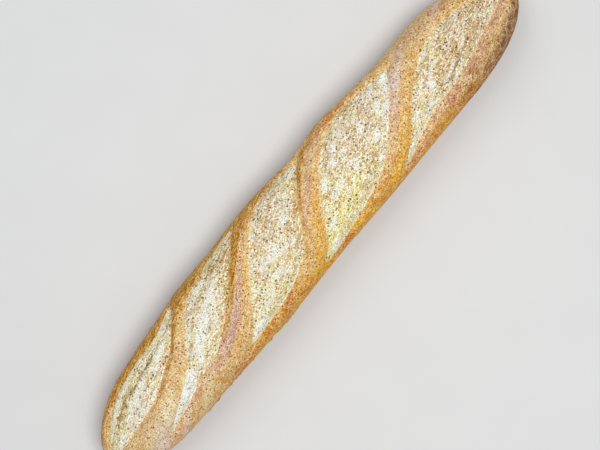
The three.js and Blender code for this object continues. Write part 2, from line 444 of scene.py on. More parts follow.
SEAM_REACH = (-182, -48)
SEAM_END = 20
SEAM_ANGLE = -1.62
SEAM_WAVE = 0.05
SEAM_WIDE = 1.1
seam_wave = SEAM_WAVE * wobble(np.stack([plain[:, 0], 0 * rolled, 0 * rolled], axis=-1), 9, 6, octaves=2)
seam_along = ease(plain[:, 0], SEAM_REACH[0], SEAM_REACH[0] + SEAM_END)
seam_along = seam_along * (1 - ease(plain[:, 0], SEAM_REACH[1] - SEAM_END, SEAM_REACH[1]))
seam_away = (angle - SEAM_ANGLE - seam_wave) * ROLL
seam = np.exp(-((seam_away / SEAM_WIDE) ** 2)) * seam_along * (0.5 + 0.8 * np.clip(swell + blister, -0.5, 1))

# Each burr: place along the loaf, angle round it, half its length in mm and its height in mm
BURRS = [
    (-168, -1.56, 2.2, 1.1), (-157.5, -1.56, 2.6, 1.2), (-141, -1.58, 1.8, 0.8), (-135, -1.58, 1.6, 0.7),
    (-115, -1.58, 2.4, 0.7), (-72, -1.58, 2.6, 0.9), (-149.5, 1.58, 1.4, 0.9), (-117, 1.58, 1.8, 0.8),
    (-93, -1.6, 1.6, 0.6), (16, -1.6, 2.0, 0.5), (58, 1.6, 1.8, 0.4),
]
BURR_THICK = 2.2
burr = np.zeros(len(plain))
for burr_x, burr_angle, half_length, high in BURRS:
    near = ((plain[:, 0] - burr_x) / half_length) ** 2 + ((angle - burr_angle) * ROLL / BURR_THICK) ** 2
    burr = np.maximum(burr, high * np.exp(-near))
marked = (tray_dot * on_base, seam, burr)
print("places in tray marks, seam, burrs:", [int((mask > 0.3).sum()) for mask in marked])

# %% [markdown]
# All heights are added up and laid on square to the plain skin, like a displacement. Doing it in the mesh
# rather than in the material means that the loaf's geometry itself has the bumps.

# %% Raise the relief
CRUST_SWELL = 0.45
CRUST_BLISTER = 0.2
STRAND_HIGH = 0.5
LUMP_HIGH = 0.55
PIT_DEEP = 0.6
LIP_PLACE = 0.9
LIP_SPREAD = 0.6
LIP_CLEAR = 90
LIP_HIGH = 0.25
SEAM_HIGH = 0.7
inside = ease(cut_depth, -0.3, 1.2)
tip_calm = ease(fullness(x_place), 0.1, 0.5)
blister_side = 1 - ease(np.abs(angle), 1.75, 2.1)
on_crust = CRUST_SWELL * swell + CRUST_BLISTER * blister * blister_side
on_crumb = STRAND_HIGH * strand + LUMP_HIGH * lump - PIT_DEEP * np.clip(pit - 0.1, 0, 1)
# A thin lip stands along the edge of a cut where no other cut lies above it
lip = np.exp(-((cut_depth - LIP_PLACE) ** 2) / LIP_SPREAD) * (past_down > LIP_CLEAR)
height = main_relief(x_place, angle, cut_depth, by_lower_edge)
height = height + tip_calm * ((1 - inside) * on_crust + inside * on_crumb)
height = height + inside * (LIP_HIGH * lip + ridge - fold) + SEAM_HIGH * seam + burr
height = np.where(np.cos(angle) < np.cos(BASE_EDGE) * 0.9, 0, height)
shaped = plain + plain_normals * height[:, None]
shaped[:, 2] = np.where(on_base > 0.5, shaped[:, 2] + TRAY_MARK * tray_dot * on_base, shaped[:, 2])
shaped[:, 2] = np.maximum(shaped[:, 2], 0)
print("relief, mm:", round(float(height.min()), 2), "to", round(float(height.max()), 2))

# %% [markdown]
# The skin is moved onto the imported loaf's box, turned from millimetres to metres, and made an object. It
# rides on the loaf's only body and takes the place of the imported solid.

# %% The loaf object
middle = (loaf_low + loaf_high) / 2 / MM
outline_middle = np.array([(LEFT_TIP[0] + RIGHT_TIP[0]) / 2, 0.0])
back_far, front_far = sides_at(np.linspace(LEFT_TIP[0], RIGHT_TIP[0], 800))
outline_middle[1] = (back_far.max() + front_far.min()) / 2
shift = np.array([middle[0] - outline_middle[0], middle[1] - outline_middle[1], loaf_low[2] / MM])
put_points(skin_mesh, (shaped + shift) * MM)
skin_mesh.shade_smooth()
loaf = bpy.data.objects.new("baguette", skin_mesh)
bpy.context.scene.collection.objects.link(loaf)
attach(loaf, "root")
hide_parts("loaf")
print("shift onto the packed box, mm:", shift.round(2))

# %% [markdown]
# Flour, yellow crumb, toasted crumb and rosy crumb lie in soft spots of their own in each cut. A spot is a
# stretched round patch: its place in plan, how long and how wide it is, and how strong. They are written as
# short lists from left to right.

# %% Spots of flour, yellow and toast
CUT_SLANT = np.radians(30)
FLOUR_SPOTS = [
    (-232, -3, 8, 3, 1.0), (-215, -1, 10, 2.5, 0.6), (-215, 17.5, 10, 1.6, 0.7), (-208, 7, 18, 4, 0.7),
    (-206, -1, 12, 3, 0.8), (-198, 4, 8, 2, 0.5), (-192, 13, 16, 4, 0.9), (-190, 25.5, 18, 2.0, 0.8),
    (-186, -22, 12, 3.5, 1.4), (-172, 17, 5, 3, 1.0), (-166, -15.5, 16, 7, 1.7), (-160, 21, 9, 3.5, 1.0),
    (-146, 2.5, 6, 4, 0.8), (-145, 28, 8, 2.5, 0.7), (-140, -7, 9, 4, 0.9), (-137, 11, 10, 3.5, 0.8),
    (-122, 7, 26, 5, 1.2), (-112, 3, 10, 4, 0.7), (-108, 26.5, 12, 2.6, 0.8), (-100, 18, 14, 4, 0.8),
    (-95, -29, 12, 3.2, 1.4), (-92, 13, 10, 2.6, 0.25), (-88, 24, 12, 3, 0.6), (-85, -27, 12, 3, 0.8),
    (-68, -18, 16, 4, 0.7), (-56, 8, 5, 2.6, 1.0), (-52, 2, 7, 3, 0.9), (-50, -12, 5, 3, 0.8),
    (-44, -14, 5, 3.4, 0.7), (-41, 24, 5, 3, 0.8), (-40, 3, 9, 4.5, 1.1), (-32, -2, 5, 3, 0.8),
    (-23, -3, 4, 2.5, 0.8), (-12, 15, 9, 4, 0.7), (-2, -31.5, 10, 2.6, 1.3), (0, 24, 8, 3, 0.5),
    (9.2, -19.4, 6, 2.6, 1.4), (20, 35, 8, 2.5, 0.8), (27.6, 6.4, 7, 2.6, 1.4), (29, -4, 7, 3, 0.8),
    (38, -3, 6, 2.4, 0.8), (46, 12.8, 3.4, 3, 1.6), (54.5, 20.2, 6, 2.2, 1.4), (55.3, -3.7, 3, 2.2, 1.4),
    (58, -17.4, 4, 2, 0.8), (58, 12.8, 3, 2.2, 1.4), (59, 0.9, 2.6, 2.2, 1.5), (68.2, 25.7, 5, 2, 1.0),
    (75, -13, 5, 2, 1.1), (80, 27, 8, 2.2, 0.4), (81, 15, 7, 2.6, 0.9), (85.6, 0.9, 6, 3, 1.3),
    (98, -1, 6, 2, 0.9), (99, -28.5, 9, 1.8, 1.1), (100, 5, 5, 2, 0.9), (104, 16, 5, 3, 0.9),
    (106, 9, 12, 3.6, 0.8), (108, -24, 8, 2, 0.8), (109.6, 28.6, 9, 2, 1.3), (118.8, 20.6, 3.6, 3, 1.4),
    (119, -13, 5, 2.2, 1.0), (122.5, 26.5, 5, 3.4, 1.6), (130, -17, 8, 2, 0.8), (145, -6.6, 3.4, 3, 1.8),
    (159.7, 15.6, 4, 2, 1.2), (175, 4, 3, 5, 0.6), (209, 3, 6, 3, 0.6),
]
YELLOW_SPOTS = [
    (-230, 12, 10, 2.5, 0.8), (-228, 8, 14, 5, 0.6), (-226, 2, 12, 6, 0.4), (-212, 18, 20, 3, 0.9),
    (-192, 23, 36, 6, 0.7), (-188, 25.5, 22, 2.6, 1.1), (-155, 30, 24, 5, 0.5), (-150, -2, 8, 4, 0.8),
    (-94, -29, 18, 5, 1.1), (-84, -18, 12, 4, 0.5), (-75, -24, 22, 6, 0.8), (-68, 36, 14, 3, 0.9),
    (-62, 3, 18, 4, 0.4), (-50, -22, 30, 4, 0.5), (-46, -20, 14, 5, 0.5), (-2, -31, 22, 6, 1.6),
    (11, -10, 14, 4, 0.6), (14, -21, 30, 10, 1.2), (20, 4, 14, 4, 0.5), (26, 8, 12, 3, 0.4),
    (40, -16, 24, 6, 0.9), (60, -18, 30, 5, 0.5), (65, -16, 12, 3, 0.6), (80, 30, 20, 2.4, 0.8),
    (110, -24, 16, 5, 0.6), (112, 30, 14, 2, 0.5), (162, 6, 6, 2.4, 0.9), (170, 17, 26, 2.6, 0.4),
]
TOAST_SPOTS = [
    (-232, 4, 8, 3, 0.4), (-208, 14, 24, 2.2, 0.8), (-192, 3, 12, 2, 0.4), (-182, 20, 14, 1.8, 0.6),
    (-120, 20, 14, 2.4, 0.5), (-100, -2, 20, 3, 0.5), (-78, 31, 14, 3, 0.4), (-36, -19, 18, 5, 0.4),
    (-20, -8, 14, 5, 0.9), (-20, 2, 24, 4, 0.5), (-12, 31, 24, 5, 0.7), (0, 12, 14, 5, 0.4),
    (68, -12, 16, 5, 0.7), (70, 14, 18, 6, 0.5), (75, -6, 14, 4, 0.5), (80, 29, 14, 4, 0.8),
    (86, 20, 8, 3, 0.6), (147, 2.4, 6, 3.2, 1.3), (152, 8, 12, 3, 1.0), (163, -4.7, 9, 4, 1.2),
    (165, -3, 22, 9, 1.4), (182, 0, 16, 5, 1.5), (185, 12, 24, 5, 0.7), (200, 7, 18, 5, 0.8),
    (205, 1, 26, 6, 1.5),
]
ROSY_SPOTS = [
    (-196, 8, 30, 4, 0.4), (-56, 4, 14, 5, 0.6), (-32, 15, 24, 6, 0.6), (22, -9, 9, 4, 0.5),
    (62, 17, 24, 7, 0.6), (96, 21, 40, 9, 0.7), (110, 9, 24, 4.5, 0.8), (136, -14, 24, 4, 0.5),
    (150, 4, 10, 4, 0.6), (190, 9, 30, 8, 0.6), (206, -2, 20, 6, 0.5),
]


def spots(patches, crisp=1, slant=CUT_SLANT):
    """Strength of the strongest patch at each place of the top side. With crisp at 2 the patches are even
    inside and end more sharply."""
    total = np.zeros(len(plain))
    for x, y, long, wide, strength in patches:
        dx, dy = seen[:, 0] - x, seen[:, 1] - y
        along = dx * np.cos(slant) + dy * np.sin(slant)
        across = dy * np.cos(slant) - dx * np.sin(slant)
        away = (along / long) ** 2 + (across / wide) ** 2
        total = np.maximum(total, strength * np.exp(-(away**crisp)))
    return total * top_side


print("spots in the cuts:", sum(map(len, (FLOUR_SPOTS, YELLOW_SPOTS, TOAST_SPOTS, ROSY_SPOTS))))

# %% [markdown]
# Just inside the lower edge of each cut the crumb has a strip of its own. At the front tips it is thin, so
# it stays pale, floury and yellow there. Higher up, the strips of the second and the third cut are darker,
# partly toasted and partly painted shade in the valley under the crust band, and that of the first is the
# paler one.

# %% The strip inside the lower edge
LOW_EDGE_WIDE = 3
LOW_EDGE_TOAST_AND_SHADE = [-0.6, 0.9, 0.6, 0.0, 0.0]
TOAST_AND_SHADE_START = (-6, 8)
FRONT_END = (-26, -12)
FRONT_FLOUR = 0.55
FRONT_YELLOW = 0.9
YELLOW_START = (-110, -90)
RIDGE_FLOUR = 1.1
low_edge = np.exp(-((np.clip(-nearest_past_down, 0, None) / LOW_EDGE_WIDE) ** 2)) * top_side
at_front = 1 - ease(rolled, *FRONT_END)
front_strip = low_edge * at_front
# Painted shade: the strips by the lower edges of the second and third cuts are darkened, in the valley there.
low_edge_toast_and_shade = by_cut(LOW_EDGE_TOAST_AND_SHADE) * ease(rolled, *TOAST_AND_SHADE_START) * low_edge
crumb_flour = np.maximum.reduce([spots(FLOUR_SPOTS, 2), RIDGE_FLOUR * ridge_shade, FRONT_FLOUR * front_strip])
crumb_flour = crumb_flour - 0.5 * low_edge_toast_and_shade
crumb_yellow = np.maximum(spots(YELLOW_SPOTS), FRONT_YELLOW * front_strip * ease(x_place, *YELLOW_START))
crumb_toast_and_shade = spots(TOAST_SPOTS) * (1 - 0.8 * ridge_shade) + np.clip(low_edge_toast_and_shade, 0, 1)
crumb_rosy = spots(ROSY_SPOTS)
print("strongest flour and toast:", round(float(crumb_flour.max()), 2), round(float(crumb_toast_and_shade.max()), 2))

# %% [markdown]
# The crust changes from place to place too. Right below each cut runs a dark golden stripe. Beyond the
# stripe comes the crown of the band, pinkish, partly from a dry bloom and partly from a painted sheen of the
# overhead light, and then an orange flank down to the next cut. How strong and how wide each of these is
# changes along the band, so a short table gives it at a few places, and the skin takes the values in between.

# %% Tones along the bands
# Each row: place across the loaf on the rolled-out crust, strength and reach of the stripe, strength, place
# and width of the crown, and strength of the orange flank
BAND_TONES = [
    [
        (-15, 0.4, 3.2, 0.3, 8, 6.0, 0.0), (2, 0.7, 4.0, 0.4, 8.5, 4.0, 0.0),
        (17, 0.75, 4.8, 0.25, 10.5, 3.5, 0.0), (32, 0.85, 14, 0.0, 9, 4.0, 0.0),
    ],
    [
        (-30, 0.0, 2.0, 0.3, 5.5, 6.0, 0.15), (-12, 0.5, 2.8, 1.0, 7, 4.6, 0.15),
        (2, 0.9, 4.6, 0.8, 8, 3.6, 0.4), (17, 1.0, 7.2, 0.55, 10.2, 3.4, 0.35),
        (32, 1.0, 12, 0.25, 14.5, 4.0, 0.2),
    ],
    [
        (-30, 0.45, 3.8, 0.0, 8, 4.0, 0.7), (-12, 0.15, 2.0, 0.25, 4.5, 4.0, 0.5),
        (2, 0.45, 2.4, 0.55, 6.5, 4.5, 0.45), (17, 0.75, 4.8, 0.6, 10, 5.0, 0.1),
        (32, 0.85, 8.0, 0.45, 15, 6.0, 0.15),
    ],
    [
        (-30, 0.25, 3.0, 0.0, 5, 4.0, 0.75), (-12, 0.1, 2.0, 0.45, 3, 3.5, 0.45),
        (2, 0.0, 2.0, 0.5, 4.5, 4.0, 0.25), (17, 0.0, 2.0, 0.15, 10, 5.0, 0.3),
        (32, 0.0, 2.0, 0.5, 6, 12.0, 0.0),
    ],
    [
        (-30, 0.2, 2.5, 0.45, 4, 7.0, 0.1), (0, 0.15, 2.5, 0.5, 4, 8.0, 0.0),
    ],
]
STRIPE_BLUR = 1.6
VALLEY_LIFT = 0.55
WIDEST_BAND = 60


def tone(column):
    """One column of the table, at every place of the skin."""
    each_band = [
        np.interp(rolled, [line[0] for line in rows], [line[column] for line in rows]) for rows in BAND_TONES
    ]
    return np.array(each_band)[cut_above, vertex]


in_band = past_down < WIDEST_BAND
stripe = tone(1) * (1 - ease(past_down, tone(2) - STRIPE_BLUR, tone(2) + STRIPE_BLUR)) * in_band
# Near the valley's bottom the stripe is weakened: painted light that offsets the valley's shade.
stripe = stripe * blend(VALLEY_LIFT, 1, ease(past_down, 0.5, 4.5))
# The crown's pink is partly a painted sheen of the overhead light.
crown = tone(3) * np.exp(-(((past_down - tone(4)) / tone(5)) ** 2)) * in_band
flank = tone(6) * ease(past_down, tone(4), tone(4) + 5) * in_band
print("places with stripe, crown, flank:", [int((mask > 0.3).sum()) for mask in (stripe, crown, flank)])

# %% [markdown]
# The crust has its own spots. Bloom and sheen spots are pinkish, partly a dry film and partly a painted
# sheen, and thin spots are where the crust is so thin that cream shows through. Dust is flour on the crust,
# rust is a reddish brown, and deep spots are the darkest brown. Some spots follow the rim of the loaf, not
# the slant of the cuts, and so they are kept in lists of their own.

# %% Spots on the crust
BLOOM_AND_SHEEN_SPOTS = [
    (-226, -24, 30, 8, 0.2), (-214, -14, 16, 5, 0.4), (-140, -17, 12, 4, 0.7), (-125, -17, 18, 5, 0.7),
    (80, 33, 20, 4, 0.3), (180, 32, 40, 9, 0.4), (192, -14, 26, 5, 0.5), (228, 22, 16, 14, 0.3),
]
THIN_SPOTS = [
    (-232, -12, 24, 7, 0.5), (-222, -22, 26, 7, 0.5), (-205, -19, 18, 5, 0.6), (-187, -14, 14, 6, 1.3),
    (-176, -5, 6, 4, 0.5), (-163, -8, 8, 3, 0.8), (-160, -31, 26, 5, 0.6), (-135, 19, 10, 4, 0.4),
]
DUST_SPOTS = [
    (-240, -14, 12, 10, 0.4), (-214, -28, 38, 10, 0.7), (-214, -13, 14, 6, 0.35),
    (-190, -34, 24, 3.5, 0.6), (104, -2, 12, 3.5, 0.35), (114, 7.5, 13, 4, 0.7), (126, 18, 12, 6, 1.0),
    (139, 23, 14, 5, 0.6), (200, 35, 30, 4, 0.6), (212, -25, 28, 2.0, 0.6), (226, 20, 14, 8, 0.5),
]
RUST_SPOTS = [
    (-190, 29.2, 22, 1.2, 0.5), (-167, -22, 20, 1.6, 0.4), (-152, 32.4, 18, 1.0, 0.5),
    (-125, -38, 14, 3, 0.4), (-118, -13, 22, 4, 0.4), (-115, -27, 16, 5, 0.3), (-110, 33, 20, 1.2, 0.5),
    (-66, 22, 16, 3, 0.3), (-60, -31, 24, 5, 0.65), (-32, 39, 26, 4, 0.6), (42, -31, 18, 2.0, 0.4),
    (60, -28, 22, 4, 0.4), (92, -14, 22, 4, 0.3), (92, -13, 18, 4, 0.3), (98, -30.5, 16, 2, 0.4),
    (150, -24, 24, 5, 0.6), (160, -19, 34, 4, 0.5), (180, -26, 50, 8, 0.3), (190, 22, 28, 8, 0.35),
    (192, -14, 22, 3.5, 0.5),
]
DEEP_SPOTS = [
    (105, 37, 30, 4, 0.25), (170, -20, 34, 5, 0.15), (222, -9, 20, 5, 0.1), (228, -17, 18, 4, 0.2),
]
RIM_RUST = [
    (-165, -36.5, 14, 2.4, 0.35), (-126, -36.6, 12, 0.9, 0.9), (-104, -36.2, 9, 0.8, 0.9),
    (-80, -34.5, 30, 3.0, 0.5), (-45, -35, 22, 3, 0.5), (-40, -37.4, 12, 0.8, 0.7),
    (10, -36, 20, 2.2, 0.6), (15, 41, 20, 2, 0.5), (60, -35.5, 60, 2.0, 0.4), (60, 38.5, 30, 3, 0.4),
    (110, -34, 40, 3, 0.5), (160, -33, 34, 3, 0.6),
]
RIM_GLOW = [
    (-118, -34, 22, 2.5, 0.6), (-20, -36, 12, 3, 0.6), (30, -36.5, 50, 2, 0.8), (62, 38, 30, 3.5, 0.9),
    (115, -33.5, 40, 4, 1.1), (160, -32.5, 36, 3.6, 0.8),
]
FOLD_GLOW = [(-21, -35, 9, 4, 1.4)]
rust = np.maximum(spots(RUST_SPOTS), spots(RIM_RUST, slant=0))
rim_glow = spots(RIM_GLOW, slant=0)
fold_glow = spots(FOLD_GLOW)
print("places with rust, glow:", [int((mask > 0.3).sum()) for mask in (rust, rim_glow)])

# %% [markdown]
# The rest of the crust is simpler. The back side is a browner gold, and the front side is orange from a
# line on that lies lower or higher along the loaf. On the front side, which faces the main lamp, a band of
# amber is painted light. The right end is deep brown at the front, and the low front side and the low back
# side short of the right end are darkened with painted shade. Next to the upper edge of a cut the crust is
# thin, so cream shows through. Dust, amber and orange fade out on the low front side.

# %% Masks for the rest of the crust
THIN_RIM = [0.1, 0.3, 0.45, 0.45, 0.35]
THIN_RIM_WIDE = 2.2
ORANGE_START = [
    (-250, 70), (-185, 60), (-160, 46), (-125, 37), (-88, 28), (-60, 26), (90, 27), (140, 31), (200, 38),
]
ORANGE_BLUR = 14
# Where a mask starts and where it is full, in mm round the skin from the top, towards the back or the front
GOLD_BACK = (22, 42)
PAINTED_LIGHT_FRONT = (20, 32)
DEEP_FRONT = (6, 42)
# The same in mm along the loaf
GOLD_FADES = (-25, 35)
GOLD_END = (205, 235)
ORANGE_FADES = (160, 215)
PAINTED_LIGHT_STARTS = (-130, -90)
PAINTED_LIGHT_FADES = (130, 200)
DEEP_STARTS = (110, 205)
PAINTED_SHADE_BACK_FADES = (60, 120)
# The same as an angle from the top, in radians
BLOOM_AND_SHEEN_LOW = (1.05, 1.35)
DUST_LOW = (1.15, 1.5)
ORANGE_LOW = (1.3, 1.9)
PAINTED_LIGHT_LOW = (1.25, 1.6)
PAINTED_SHADE_BACK_LOW = (1.2, 1.6)
PAINTED_SHADE_FRONT_LOW = (1.25, 1.5)
SIDE_LOW = (1.15, 1.7)

# Bloom and sheen: the crown's pink and the spots, partly a dry film and partly a painted sheen, fading out
# down the steep sides.
bloom_and_sheen = np.maximum(crown, spots(BLOOM_AND_SHEEN_SPOTS)) * (1 - ease(np.abs(angle), *BLOOM_AND_SHEEN_LOW))
thin_rim = by_cut(THIN_RIM) * np.exp(-((past_up / THIN_RIM_WIDE) ** 2)) * top_side
thin = np.maximum(spots(THIN_SPOTS), thin_rim)
dust = spots(DUST_SPOTS) * (1 - 0.7 * ease(-angle, *DUST_LOW))
back_gold = ease(rolled, *GOLD_BACK) * (1 - 0.9 * ease(x_place, *GOLD_FADES))
gold = np.maximum(stripe, back_gold + 0.25 * ease(x_place, *GOLD_END))
orange_start = np.interp(x_place, *zip(*ORANGE_START))
orange = ease(-rolled, orange_start, orange_start + ORANGE_BLUR) * (1 - ease(x_place, *ORANGE_FADES))
orange = np.maximum(orange * (1 - 0.45 * ease(-angle, *ORANGE_LOW)), rim_glow)
# Painted light: a band of amber on the front side, which faces the main lamp, fading out low down.
front_painted_light = 0.45 * ease(-rolled, *PAINTED_LIGHT_FRONT) * ease(x_place, *PAINTED_LIGHT_STARTS)
front_painted_light = front_painted_light * (1 - ease(x_place, *PAINTED_LIGHT_FADES)) * (1 - 0.8 * ease(-angle, *PAINTED_LIGHT_LOW))
# Amber is the band flanks, a fold by the fourth cut's tip and the painted light on the front side.
amber = np.maximum.reduce([flank, front_painted_light, fold_glow])
deep_brown_and_low_shade = 0.7 * ease(-rolled, *DEEP_FRONT) * ease(x_place, *DEEP_STARTS)
# The low back side, short of the right end, and the low front side are darkened with painted shade.
deep_brown_and_low_shade = deep_brown_and_low_shade + 0.4 * ease(angle, *PAINTED_SHADE_BACK_LOW) * (1 - ease(x_place, *PAINTED_SHADE_BACK_FADES))
deep_brown_and_low_shade = deep_brown_and_low_shade + 0.3 * ease(-angle, *PAINTED_SHADE_FRONT_LOW) + spots(DEEP_SPOTS)
under = ease(-np.cos(angle), 0.0, 0.6)
side = ease(np.abs(angle), *SIDE_LOW)
print("places with gold, orange, amber:", [int((mask > 0.3).sum()) for mask in (gold, orange, amber)])

# %% [markdown]
# Attributes carry those numbers on the mesh itself, so the material reads them with Attribute nodes and the
# pattern stays with the surface from every side. The crumb narrows sooner at four tips of cuts than their
# relief does, so spots there close it, and it reaches a little further down at the lower edges in front.

# %% Write the attributes
CLOSED_TIPS = [
    (-204, -30.5, 4, 2, 0.6), (-108.5, -35, 5, 2.5, 0.8), (-24, -36.6, 8, 3.5, 1.0), (135, 30.8, 6, 2, 1.0),
]
TIP_CLOSING = 5
FRONT_REACH = 0.5
FIBRE = [1.0, 0.75, 0.55, 0.5, 0.5]
crumb_border = cut_depth - TIP_CLOSING * spots(CLOSED_TIPS, 2, slant=0)
crumb_border = crumb_border + FRONT_REACH * by_lower_edge * at_front
fibre = by_cut(FIBRE) * blend(0.5, 1.0, ease(rolled, -20, 20))
CRUMB_VALUES = {
    "cut_depth": crumb_border, "flour": crumb_flour, "yellow": crumb_yellow, "toast_and_shade": crumb_toast_and_shade,
    "rosy": crumb_rosy, "fold": fold_painted_shade, "fibre": fibre,
}
CRUST_VALUES = {
    "bloom_and_sheen": bloom_and_sheen, "thin": thin, "dust": dust, "gold": gold, "orange": orange, "amber": amber, "rust": rust,
    "deep_brown_and_low_shade": deep_brown_and_low_shade, "under": under, "side": side,
}
CRUST_VALUES = {name: np.clip(values, 0, 1) for name, values in CRUST_VALUES.items()}
for name, values in {**CRUMB_VALUES, **CRUST_VALUES}.items():
    layer = skin_mesh.attributes.new(name, "FLOAT", "POINT")
    layer.data.foreach_set("value", np.asarray(values, np.float32))
GRAIN_APART = 40.0
grain = np.stack([cut_along, cut_across, GRAIN_APART * nearest], axis=-1) * MM
grain_layer = skin_mesh.attributes.new("grain", "FLOAT_VECTOR", "POINT")
grain_layer.data.foreach_set("vector", grain.astype(np.float32).ravel())
print("attributes:", len(skin_mesh.attributes))

# %% [markdown]
# A material is a tree of nodes. A small recipe class keeps the code short: each method adds one node and
# gives back its output, so a pattern reads like a sum. Colours are written as the screen shows them and
# turned into the linear values that the nodes want.

# %% A recipe for node trees
def screen_colour(*red_green_blue):
    """A colour as seen on screen, 0 to 255, turned into linear light."""
    def linear(value):
        value = value / 255
        return value / 12.92 if value <= 0.04045 else ((value + 0.055) / 1.055) ** 2.4
    return (*map(linear, red_green_blue), 1.0)


class Recipe:
    def __init__(self, name):
        self.material = bpy.data.materials.new(name)
        self.material.use_nodes = True
        self.tree = self.material.node_tree
        self.shader = self.tree.nodes["Principled BSDF"]
        self.place = self.node("ShaderNodeTexCoord").outputs["Object"]

    def join(self, value, socket):
        """Link an output to a socket, or set a plain value on it."""
        if isinstance(value, bpy.types.NodeSocket):
            self.tree.links.new(value, socket)
        else:
            socket.default_value = value

    def finish(self, **values):
        """Set the shader's own sockets, whose names have spaces where these have underscores."""
        for name, value in values.items():
            self.join(value, self.shader.inputs[name.replace("_", " ")])

    def node(self, kind, inputs=(), **settings):
        """A new node. Its inputs are pairs of a socket's name or number and a value."""
        made = self.tree.nodes.new(kind)
        for name, value in settings.items():
            setattr(made, name, value)
        for name, value in inputs:
            self.join(value, made.inputs[name])
        return made

    def attribute(self, name, output="Fac"):
        return self.node("ShaderNodeAttribute", attribute_name=name).outputs[output]

    def noise(self, size, detail=3, rough=0.6, place=None):
        spread = [("Scale", 1 / (size * MM)), ("Detail", detail), ("Roughness", rough)]
        return self.node("ShaderNodeTexNoise", [("Vector", place or self.place), *spread]).outputs["Fac"]

    def cells(self, size, place):
        """Distance from the middle of the nearest cell, in cell sizes."""
        inputs = [("Vector", place), ("Scale", 1 / (size * MM))]
        return self.node("ShaderNodeTexVoronoi", inputs).outputs["Distance"]

    def step(self, value, low, high):
        """A smooth step from 0 to 1 while the value goes from low to high."""
        inputs = [("Value", value), ("From Min", low), ("From Max", high)]
        return self.node("ShaderNodeMapRange", inputs, interpolation_type="SMOOTHSTEP").outputs["Result"]

    def sum(self, operation, a, b, clamp=False):
        return self.node("ShaderNodeMath", [(0, a), (1, b)], operation=operation, use_clamp=clamp).outputs[0]

    def plus(self, a, b):
        return self.sum("ADD", a, b)

    def minus(self, a, b):
        return self.sum("SUBTRACT", a, b)

    def times(self, a, b, clamp=False):
        return self.sum("MULTIPLY", a, b, clamp)

    def mix(self, share, a, b):
        """A colour between a and b."""
        return self.node("ShaderNodeMix", [("Factor", share), (6, a), (7, b)], data_type="RGBA").outputs[2]

    def number(self, share, a, b):
        """A number between a and b."""
        return self.node("ShaderNodeMix", [("Factor", share), (2, a), (3, b)], data_type="FLOAT").outputs[0]

    def stretched(self, place, along, slant=0.0):
        inputs = [("Vector", place), ("Rotation", (0, 0, np.radians(slant))), ("Scale", (along, 1, 1))]
        return self.node("ShaderNodeMapping", inputs, vector_type="TEXTURE").outputs["Vector"]

    def shaken(self, place, size, amount):
        """A place moved about by up to amount mm, by a noise of the given size."""
        shaker = self.node("ShaderNodeTexNoise", [("Vector", place), ("Scale", 1 / (size * MM))])
        inputs = [(0, shaker.outputs["Color"]), (1, [amount * MM] * 3), (2, place)]
        return self.node("ShaderNodeVectorMath", inputs, operation="MULTIPLY_ADD").outputs["Vector"]

    def power(self, colour, exponent):
        return self.node("ShaderNodeGamma", [("Color", colour), ("Gamma", exponent)]).outputs["Color"]

    def dim(self, colour, factor):
        inputs = [(0, colour), ("Scale", factor)]
        return self.node("ShaderNodeVectorMath", inputs, operation="SCALE").outputs["Vector"]

    def swing(self, *parts):
        """A sum of noises around a middle of 0, each times its own strength."""
        total = 0.0
        for value, strength in parts:
            total = self.plus(self.times(self.minus(value, 0.5), strength), total)
        return total

    def bump(self, height, distance, strength, normal=None):
        inputs = [("Height", height), ("Distance", distance * MM), ("Strength", strength)]
        if normal is not None:
            inputs.append(("Normal", normal))
        return self.node("ShaderNodeBump", inputs).outputs["Normal"]


print("white on screen is", screen_colour(255, 255, 255)[:3], "in linear light")

# %% [markdown]
# First the crust. Its tones are laid over each other with the masks, from the golden tan of the base to the
# deep brown of the right end, and the order of the table is the order of the layers. Noise added to each
# mask breaks up its border, so that none shows as a line.

# %% Crust colours
bread = Recipe("crust_and_crumb")
GOLDEN_TAN = screen_colour(228, 187, 120)
UNDER_BROWN = screen_colour(170, 118, 58)
# Each layer: its mask, its colour on screen, how much its border is broken up, and its strength
CRUST_LAYERS = [
    ("orange", (224, 154, 46), 0.5, 1.0),
    # amber: the band flanks, a fold, and painted light on the front side
    ("amber", (236, 179, 56), 0.5, 1.0),
    ("rust", (202, 128, 72), 0.5, 1.0),
    ("gold", (200, 146, 52), 0.5, 1.0),
    # bloom and sheen: pinkish, partly a dry film and partly a painted sheen
    ("bloom_and_sheen", (215, 175, 150), 0.7, 1.0),
    ("thin", (241, 222, 162), 0.8, 1.0),
    ("dust", (230, 212, 202), 0.6, 0.8),
    # deep brown at the right end and in spots, and painted shade on the low sides
    ("deep_brown_and_low_shade", (150, 102, 56), 0.4, 1.0),
]
blotch = bread.noise(7, rough=0.55)
mottle = bread.noise(2.8, detail=4)
fine = bread.noise(0.9)
bread_grain = bread.attribute("grain", "Vector")
streak = bread.noise(1.6, place=bread.stretched(bread_grain, 5))
crust = GOLDEN_TAN
for name, colour, shake, strength in CRUST_LAYERS:
    rough_edge = bread.plus(bread.attribute(name), bread.swing((blotch, shake), (mottle, shake)))
    mask = bread.times(bread.step(rough_edge, 0.08, 0.92), strength)
    crust = bread.mix(mask, crust, screen_colour(*colour))
crust = bread.mix(bread.attribute("under"), crust, UNDER_BROWN)
print("layers of crust colour:", len(CRUST_LAYERS) + 2)

# %% [markdown]
# Brown spots on bread are not a second paint. The same browned layer is only thicker there, and light that
# has to cross twice the layer keeps its own share squared. So the mottling is worked as a thickness, and
# the colour is raised to that power: thin spots turn pale and thick ones deep and saturated, as they do on
# the loaf.

